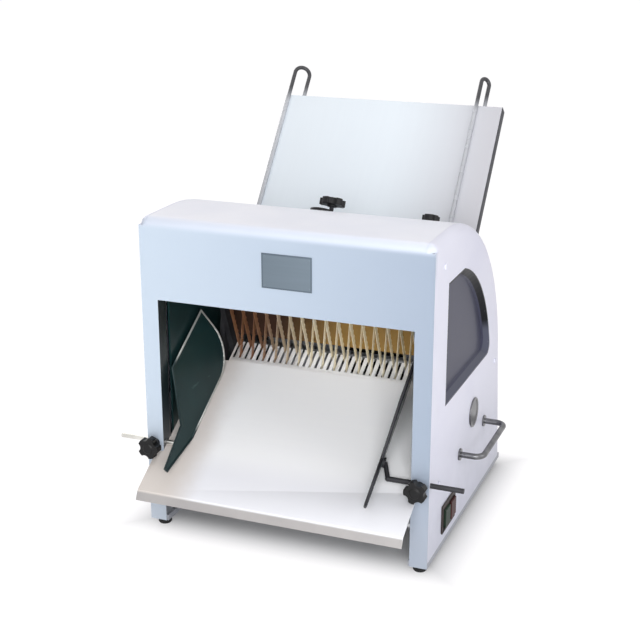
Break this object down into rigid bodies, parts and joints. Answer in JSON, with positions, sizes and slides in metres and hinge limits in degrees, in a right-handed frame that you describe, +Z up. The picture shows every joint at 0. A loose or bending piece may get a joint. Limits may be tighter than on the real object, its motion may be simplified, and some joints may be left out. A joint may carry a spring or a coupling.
{
  "type": "bread slicer machine",
  "caption": "Bench bread slicer with a steep loading chute, two criss-crossed reciprocating blade frames, a sloping comb outlet tray, sliding guides and rounded side covers.",
  "frame": {"origin": "on the floor, at the middle of the width and of the whole depth", "axes": "+X to the machine's right as seen from the front, +Y to the back, +Z up"},
  "size_m": [0.65, 0.7076, 0.777],
  "materials": {
    "painted_white": "smooth semi-gloss powder coat",
    "cover_white": "moulded, satin",
    "smoked": "smoked, polished",
    "stainless": "polished stainless sheet",
    "rod_chrome": "bright plated",
    "dark_painted": "dark hammered paint",
    "machine_iron": "machined",
    "motor_alloy": "cast, grey",
    "black_plastic": "fine texture",
    "start_green": "smooth",
    "stop_red": "smooth",
    "rubber": "matt"
  },
  "bodies": {
    "body": {"base_pan": "painted_white", "feet": "rubber", "left_side_plate": "dark_painted", "right_side_plate": "dark_painted", "tie_bars": "stainless", "front_panel": "painted_white", "rear_panel": "painted_white", "left_cover": "cover_white", "right_cover": "cover_white", "cover_spacers": "dark_painted", "cover_screws": "stainless", "left_window": "smoked", "right_window": "smoked", "left_handle": "rod_chrome", "right_handle": "rod_chrome", "side_cap": "rod_chrome", "cable_gland": "black_plastic", "switch_box": "black_plastic", "outlet_tray": "stainless", "left_rod_block": "dark_painted", "right_rod_block": "dark_painted", "loading_chute": "stainless", "chute_spacers": "dark_painted", "chute_cross_rod": "stainless", "shaft_bearings": "machine_iron", "motor": "motor_alloy", "drive_belt": "rubber"},
    "start_button": {"start_button": "start_green"},
    "stop_button": {"stop_button": "stop_red"},
    "left_outlet_guide": {"left_guide_rod": "rod_chrome", "left_guide_plate": "dark_painted"},
    "right_outlet_guide": {"right_guide_rod": "rod_chrome", "right_guide_plate": "dark_painted"},
    "left_outlet_knob": {"left_outlet_knob": "black_plastic"},
    "right_outlet_knob": {"right_outlet_knob": "black_plastic"},
    "left_loaf_guide": {"left_loaf_guide": "rod_chrome"},
    "right_loaf_guide": {"right_loaf_guide": "rod_chrome"},
    "gate": {"loading_gate": "stainless", "gate_studs": "stainless"},
    "left_gate_knob": {"left_gate_knob": "black_plastic"},
    "right_gate_knob": {"right_gate_knob": "black_plastic"},
    "front_frame": {"front_blade_frame": "machine_iron", "front_blades": "stainless", "front_blade_clamps": "stainless"},
    "rear_frame": {"rear_blade_frame": "machine_iron", "rear_blades": "stainless", "rear_blade_clamps": "stainless"},
    "crank": {"crankshaft": "stainless", "front_eccentrics": "stainless", "rear_eccentrics": "stainless", "crank_pulley": "machine_iron"},
    "front_rods": {"front_rods": "machine_iron", "front_wrist_pins": "stainless"},
    "rear_rods": {"rear_rods": "machine_iron", "rear_wrist_pins": "stainless"},
    "motor_rotor": {"motor_shaft": "stainless", "motor_pulley": "machine_iron"}
  },
  "joints": [
    {"name": "front_frame_slide", "type": "slide", "parent": "body", "child": "front_frame", "axis": [0, -0.3907, 0.9205], "range_m": [-0.02, 0.02]},
    {"name": "rear_frame_slide", "type": "slide", "parent": "body", "child": "rear_frame", "axis": [0, 0.1908, 0.9816], "range_m": [-0.02, 0.02]},
    {"name": "crank_spin", "type": "hinge", "parent": "body", "child": "crank", "pos_m": [0, -0.03289, 0.085], "axis": [1, 0, 0], "continuous": true},
    {"name": "front_rods_swing", "type": "hinge", "parent": "crank", "child": "front_rods", "pos_m": [0, -0.01289, 0.085], "axis": [1, 0, 0], "continuous": true},
    {"name": "rear_rods_swing", "type": "hinge", "parent": "crank", "child": "rear_rods", "pos_m": [0, -0.05289, 0.085], "axis": [1, 0, 0], "continuous": true},
    {"name": "motor_spin", "type": "hinge", "parent": "body", "child": "motor_rotor", "pos_m": [0, 0.13311, 0.09], "axis": [1, 0, 0], "continuous": true},
    {"name": "left_outlet_guide_slide", "type": "slide", "parent": "body", "child": "left_outlet_guide", "axis": [1, 0, 0], "range_m": [-0.003, 0.055]},
    {"name": "right_outlet_guide_slide", "type": "slide", "parent": "body", "child": "right_outlet_guide", "axis": [1, 0, 0], "range_m": [-0.05, 0.02]},
    {"name": "left_outlet_knob_turn", "type": "hinge", "parent": "body", "child": "left_outlet_knob", "pos_m": [-0.251, -0.26689, 0.16846], "axis": [0, -1, 0], "range_deg": [0, 360]},
    {"name": "right_outlet_knob_turn", "type": "hinge", "parent": "body", "child": "right_outlet_knob", "pos_m": [0.251, -0.26689, 0.16846], "axis": [0, -1, 0], "range_deg": [0, 360]},
    {"name": "left_loaf_guide_slide", "type": "slide", "parent": "body", "child": "left_loaf_guide", "axis": [1, 0, 0], "range_m": [0, 0.12]},
    {"name": "right_loaf_guide_slide", "type": "slide", "parent": "body", "child": "right_loaf_guide", "axis": [1, 0, 0], "range_m": [-0.12, 0.02]},
    {"name": "gate_lift", "type": "hinge", "parent": "body", "child": "gate", "pos_m": [0, -0.15889, 0.229], "axis": [1, 0, 0], "range_deg": [0, 8]},
    {"name": "left_gate_knob_turn", "type": "hinge", "parent": "gate", "child": "left_gate_knob", "pos_m": [-0.013, -0.00348, 0.55483], "axis": [0, 0.4305, 0.9026], "range_deg": [0, 360]},
    {"name": "right_gate_knob_turn", "type": "hinge", "parent": "gate", "child": "right_gate_knob", "pos_m": [0.178, -0.00348, 0.55483], "axis": [0, 0.4305, 0.9026], "range_deg": [0, 360]},
    {"name": "start_press", "type": "slide", "parent": "body", "child": "start_button", "axis": [1, 0, 0], "range_m": [-0.0035, 0], "stiffness_N_per_m": 600},
    {"name": "stop_press", "type": "slide", "parent": "body", "child": "stop_button", "axis": [1, 0, 0], "range_m": [-0.0035, 0], "stiffness_N_per_m": 600}
  ],
  "couplings": [
    {"joint": "rear_frame_slide", "follows": "front_frame_slide", "ratio": -1},
    {"joint": "front_rods_swing", "follows": "crank_spin", "ratio": -1},
    {"joint": "rear_rods_swing", "follows": "crank_spin", "ratio": -1},
    {"joint": "motor_spin", "follows": "crank_spin", "ratio": 2.2}
  ]
}
